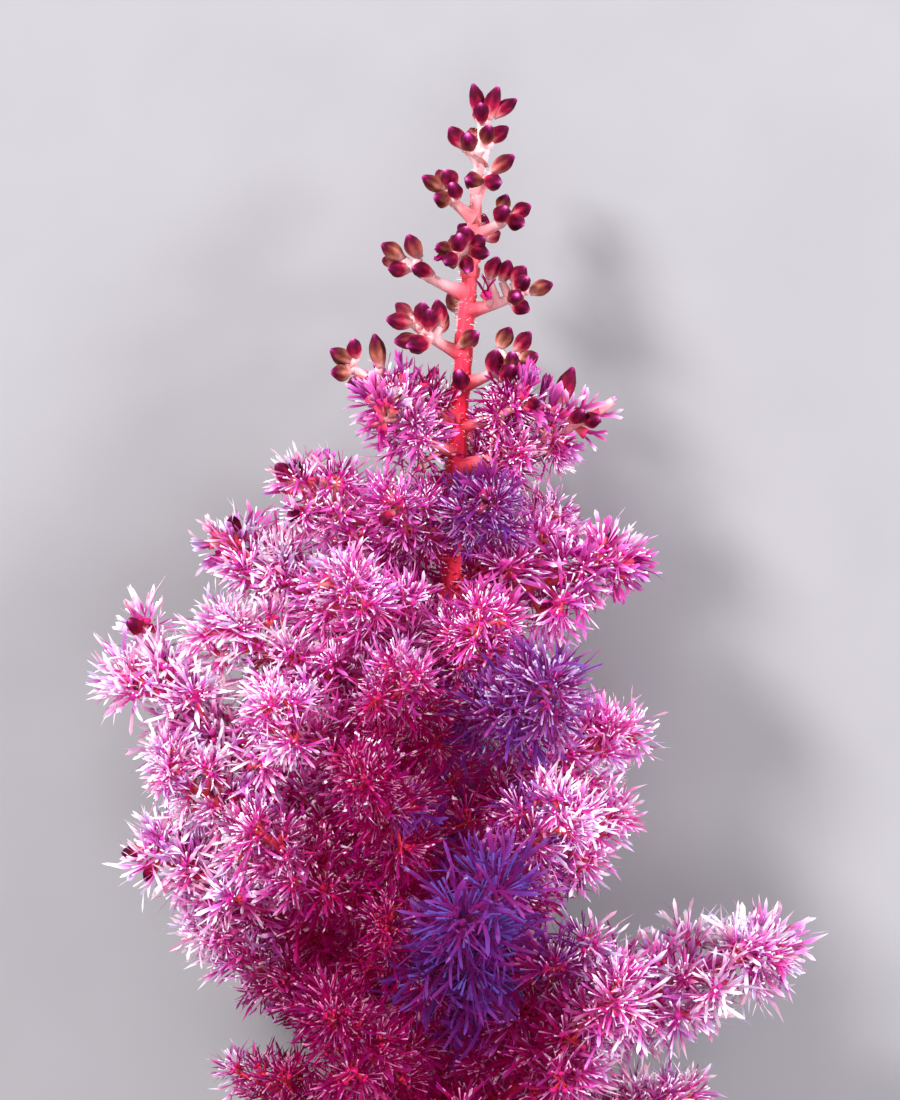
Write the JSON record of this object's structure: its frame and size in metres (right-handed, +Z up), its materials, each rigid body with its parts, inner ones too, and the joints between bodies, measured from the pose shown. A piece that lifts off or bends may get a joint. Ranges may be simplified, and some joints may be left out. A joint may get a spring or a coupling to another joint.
{
  "type": "astilbe plume, cut from the plant",
  "caption": "Cut astilbe plume lying on its side: closed buds at the tip, dense feathery flowering sprays below them, and a bare round stalk.",
  "frame": {"origin": "the small flat spot on the underside, where the lowest spray is pressed against the surface, straight below the stalk", "axes": "+Y towards the plume's tip, +Z up from the surface it lies on, +X to the right when it is looked down on with the tip away"},
  "size_m": [0.0759, 0.1784, 0.0455],
  "materials": {
    "stalk": "soft coral-red stem, paler towards the tip, with fine white hairs",
    "buds": "satin magenta-purple buds with peach bases on pale pink pedicels",
    "petals": "thin satin petals, lilac-pink with near-white tips over crimson calyxes"
  },
  "bodies": {
    "root": {"stalk": "stalk", "bud_spray_01": "buds", "bud_spray_02": "buds", "bud_spray_03": "buds", "bud_spray_04": "buds", "bud_spray_05": "buds", "bud_spray_06": "buds", "bud_spray_07": "buds", "bud_spray_08": "buds", "bud_spray_09": "buds", "bud_spray_10": "buds", "bud_spray_11": "buds", "bud_spray_12": "buds", "bud_spray_13": "buds", "flower_spray_01": "petals", "flower_spray_02": "petals", "flower_spray_03": "petals", "flower_spray_04": "petals", "flower_spray_05": "petals", "flower_spray_06": "petals", "flower_spray_07": "petals", "flower_spray_08": "petals", "flower_spray_09": "petals", "flower_spray_10": "petals", "flower_spray_11": "petals", "flower_spray_12": "petals", "flower_spray_13": "petals", "flower_spray_14": "petals", "flower_spray_15": "petals", "flower_spray_16": "petals", "flower_spray_17": "petals", "flower_spray_18": "petals", "flower_spray_19": "petals", "flower_spray_20": "petals", "flower_spray_21": "petals", "flower_spray_22": "petals", "flower_spray_23": "petals", "flower_spray_24": "petals", "flower_spray_25": "petals", "flower_spray_26": "petals", "flower_spray_27": "petals", "flower_spray_28": "petals", "flower_spray_29": "petals", "flower_spray_30": "petals", "flower_spray_31": "petals", "flower_spray_32": "petals", "flower_spray_33": "petals", "flower_spray_34": "petals", "flower_spray_35": "petals", "flower_spray_36": "petals", "flower_spray_37": "petals", "flower_spray_38": "petals", "flower_spray_39": "petals", "flower_spray_40": "petals", "flower_spray_41": "petals", "flower_spray_42": "petals", "flower_spray_43": "petals", "flower_spray_44": "petals"}
  },
  "joints": []
}
